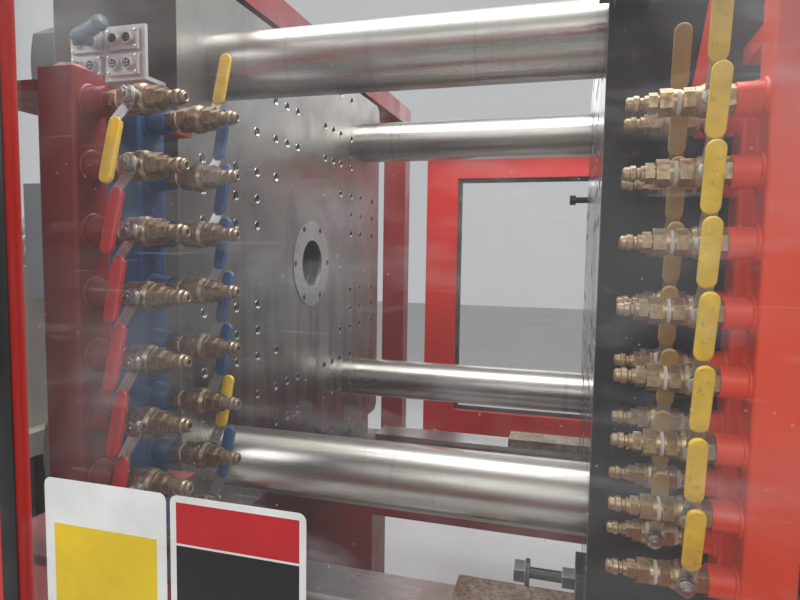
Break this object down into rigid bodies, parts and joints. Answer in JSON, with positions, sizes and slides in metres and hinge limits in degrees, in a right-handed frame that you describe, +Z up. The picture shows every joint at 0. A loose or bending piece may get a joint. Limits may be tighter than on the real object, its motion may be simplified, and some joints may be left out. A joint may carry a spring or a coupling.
{
  "type": "injection moulding machine",
  "caption": "Horizontal hydraulic injection moulding machine with platens on tie bars, water manifolds with ball valves, sliding safety gates and an injection unit.",
  "frame": {"origin": "centre of the machine's outline on the floor", "axes": "+X from the injection end to the clamp end, +Y to the operator's side, +Z up"},
  "size_m": [4.8, 1.88, 2.089],
  "materials": {
    "paint_red": "semi-gloss machine paint, dark red",
    "paint_bright_red": "semi-gloss machine paint, bright red",
    "paint_blue": "semi-gloss paint, blue",
    "paint_cream": "light textured cabinet paint",
    "paint_black": "near-black machine paint",
    "ground_steel": "ground and stained plate",
    "bar_steel": "ground and chromed bar",
    "dark_steel": "black oxide",
    "way_steel": "oiled ground steel",
    "brass_fittings": "dull, stained brass",
    "bronze": "bearing bronze",
    "grip_yellow": "dipped vinyl grip",
    "grip_red": "dipped vinyl grip",
    "grip_blue": "dipped vinyl grip",
    "clear_sheet": "clear sheet, scratched and hazed",
    "grey_plastic": "connector plastic",
    "signal_red": "moulded push button",
    "signal_yellow": "yellow cover paint",
    "stainless": "spun sheet"
  },
  "bodies": {
    "root": {"base_frame": "paint_red", "levelling_feet": "dark_steel", "bed_ways": "way_steel", "fixed_platen": "ground_steel", "locating_ring": "way_steel", "ring_screws": "dark_steel", "tie_bars": "bar_steel", "tie_bar_nuts": "dark_steel", "clamp_platen": "paint_red", "clamp_cylinder": "paint_black", "guard_frame": "paint_red", "clamp_guards": "paint_cream", "left_red_header": "paint_red", "left_blue_header": "paint_blue", "left_valves": "brass_fittings", "left_rear_handles": "grip_blue", "connector_block": "grey_plastic", "control_cabinet": "paint_cream", "oil_tank": "paint_black"},
    "platen": {"moving_platen": "paint_black", "platen_shoes": "bronze", "platen_bushes": "bronze", "platen_fittings": "dark_steel", "clamp_ram": "bar_steel", "right_headers": "paint_bright_red", "right_valves": "brass_fittings", "right_rear_handles": "grip_yellow"},
    "ejector": {"ejector_plate": "way_steel"},
    "near_gate": {"near_gate_frame": "paint_bright_red", "near_gate_window": "clear_sheet", "near_gate_handle": "dark_steel"},
    "far_gate": {"far_gate_frame": "paint_bright_red", "far_gate_window": "clear_sheet", "far_gate_handle": "dark_steel"},
    "carriage": {"injection_carriage": "paint_cream", "barrel": "way_steel", "nozzle": "way_steel", "heater_bands": "stainless", "hopper": "stainless"},
    "lid": {"hopper_lid": "stainless"},
    "crosshead": {"drive_crosshead": "paint_black"},
    "screw_body": {"screw": "way_steel"},
    "cover": {"purge_guard": "signal_yellow"},
    "stop_button": {"e_stop_button": "signal_red"},
    "left_lever_1": {"left_handle_1": "grip_yellow"},
    "right_lever_1": {"right_handle_1": "grip_yellow"},
    "left_lever_2": {"left_handle_2": "grip_red"},
    "right_lever_2": {"right_handle_2": "grip_yellow"},
    "left_lever_3": {"left_handle_3": "grip_red"},
    "right_lever_3": {"right_handle_3": "grip_yellow"},
    "left_lever_4": {"left_handle_4": "grip_red"},
    "right_lever_4": {"right_handle_4": "grip_yellow"},
    "left_lever_5": {"left_handle_5": "grip_red"},
    "right_lever_5": {"right_handle_5": "grip_yellow"},
    "left_lever_6": {"left_handle_6": "grip_red"},
    "right_lever_6": {"right_handle_6": "grip_yellow"},
    "left_lever_7": {"left_handle_7": "grip_red"},
    "right_lever_7": {"right_handle_7": "grip_yellow"},
    "left_lever_8": {"left_handle_8": "grip_red"},
    "right_lever_8": {"right_handle_8": "grip_yellow"}
  },
  "joints": [
    {"name": "platen_slide", "type": "slide", "parent": "root", "child": "platen", "axis": [1, 0, 0], "range_m": [-0.4, 0.15]},
    {"name": "ejector_slide", "type": "slide", "parent": "platen", "child": "ejector", "axis": [-1, 0, 0], "range_m": [0, 0.12]},
    {"name": "near_gate_slide", "type": "slide", "parent": "root", "child": "near_gate", "axis": [1, 0, 0], "range_m": [0, 0.7]},
    {"name": "far_gate_slide", "type": "slide", "parent": "root", "child": "far_gate", "axis": [1, 0, 0], "range_m": [0, 0.7]},
    {"name": "carriage_slide", "type": "slide", "parent": "root", "child": "carriage", "axis": [-1, 0, 0], "range_m": [0, 0.3]},
    {"name": "injection_slide", "type": "slide", "parent": "carriage", "child": "crosshead", "axis": [-1, 0, 0], "range_m": [0, 0.25]},
    {"name": "screw_spin", "type": "hinge", "parent": "crosshead", "child": "screw_body", "pos_m": [-1.5, 0, 1.3], "axis": [1, 0, 0], "continuous": true},
    {"name": "hopper_lid_hinge", "type": "hinge", "parent": "carriage", "child": "lid", "pos_m": [-1.08, 0.242, 2.055], "axis": [-1, 0, 0], "range_deg": [0, 95]},
    {"name": "purge_guard_hinge", "type": "hinge", "parent": "root", "child": "cover", "pos_m": [-0.305, 0.182, 1.475], "axis": [-1, 0, 0], "range_deg": [0, 95]},
    {"name": "e_stop_press", "type": "slide", "parent": "root", "child": "stop_button", "axis": [0, -1, 0], "range_m": [0, 0.006], "stiffness_N_per_m": 800},
    {"name": "left_valve_1", "type": "hinge", "parent": "root", "child": "left_lever_1", "pos_m": [0.353, -0.78, 1.488], "axis": [0, 1, 0], "range_deg": [0, 90]},
    {"name": "right_valve_1", "type": "hinge", "parent": "platen", "child": "right_lever_1", "pos_m": [0.922, -0.665, 1.484], "axis": [0, 1, 0], "range_deg": [0, 90]},
    {"name": "left_valve_2", "type": "hinge", "parent": "root", "child": "left_lever_2", "pos_m": [0.353, -0.78, 1.418], "axis": [0, 1, 0], "range_deg": [0, 90]},
    {"name": "right_valve_2", "type": "hinge", "parent": "platen", "child": "right_lever_2", "pos_m": [0.922, -0.665, 1.414], "axis": [0, 1, 0], "range_deg": [0, 90]},
    {"name": "left_valve_3", "type": "hinge", "parent": "root", "child": "left_lever_3", "pos_m": [0.353, -0.78, 1.348], "axis": [0, 1, 0], "range_deg": [0, 90]},
    {"name": "right_valve_3", "type": "hinge", "parent": "platen", "child": "right_lever_3", "pos_m": [0.922, -0.665, 1.344], "axis": [0, 1, 0], "range_deg": [0, 90]},
    {"name": "left_valve_4", "type": "hinge", "parent": "root", "child": "left_lever_4", "pos_m": [0.353, -0.78, 1.278], "axis": [0, 1, 0], "range_deg": [0, 90]},
    {"name": "right_valve_4", "type": "hinge", "parent": "platen", "child": "right_lever_4", "pos_m": [0.922, -0.665, 1.274], "axis": [0, 1, 0], "range_deg": [0, 90]},
    {"name": "left_valve_5", "type": "hinge", "parent": "root", "child": "left_lever_5", "pos_m": [0.353, -0.78, 1.208], "axis": [0, 1, 0], "range_deg": [0, 90]},
    {"name": "right_valve_5", "type": "hinge", "parent": "platen", "child": "right_lever_5", "pos_m": [0.922, -0.665, 1.204], "axis": [0, 1, 0], "range_deg": [0, 90]},
    {"name": "left_valve_6", "type": "hinge", "parent": "root", "child": "left_lever_6", "pos_m": [0.353, -0.78, 1.138], "axis": [0, 1, 0], "range_deg": [0, 90]},
    {"name": "right_valve_6", "type": "hinge", "parent": "platen", "child": "right_lever_6", "pos_m": [0.922, -0.665, 1.134], "axis": [0, 1, 0], "range_deg": [0, 90]},
    {"name": "left_valve_7", "type": "hinge", "parent": "root", "child": "left_lever_7", "pos_m": [0.353, -0.78, 1.068], "axis": [0, 1, 0], "range_deg": [0, 90]},
    {"name": "right_valve_7", "type": "hinge", "parent": "platen", "child": "right_lever_7", "pos_m": [0.922, -0.665, 1.064], "axis": [0, 1, 0], "range_deg": [0, 90]},
    {"name": "left_valve_8", "type": "hinge", "parent": "root", "child": "left_lever_8", "pos_m": [0.353, -0.78, 0.998], "axis": [0, 1, 0], "range_deg": [0, 90]},
    {"name": "right_valve_8", "type": "hinge", "parent": "platen", "child": "right_lever_8", "pos_m": [0.922, -0.665, 0.994], "axis": [0, 1, 0], "range_deg": [0, 90]}
  ]
}
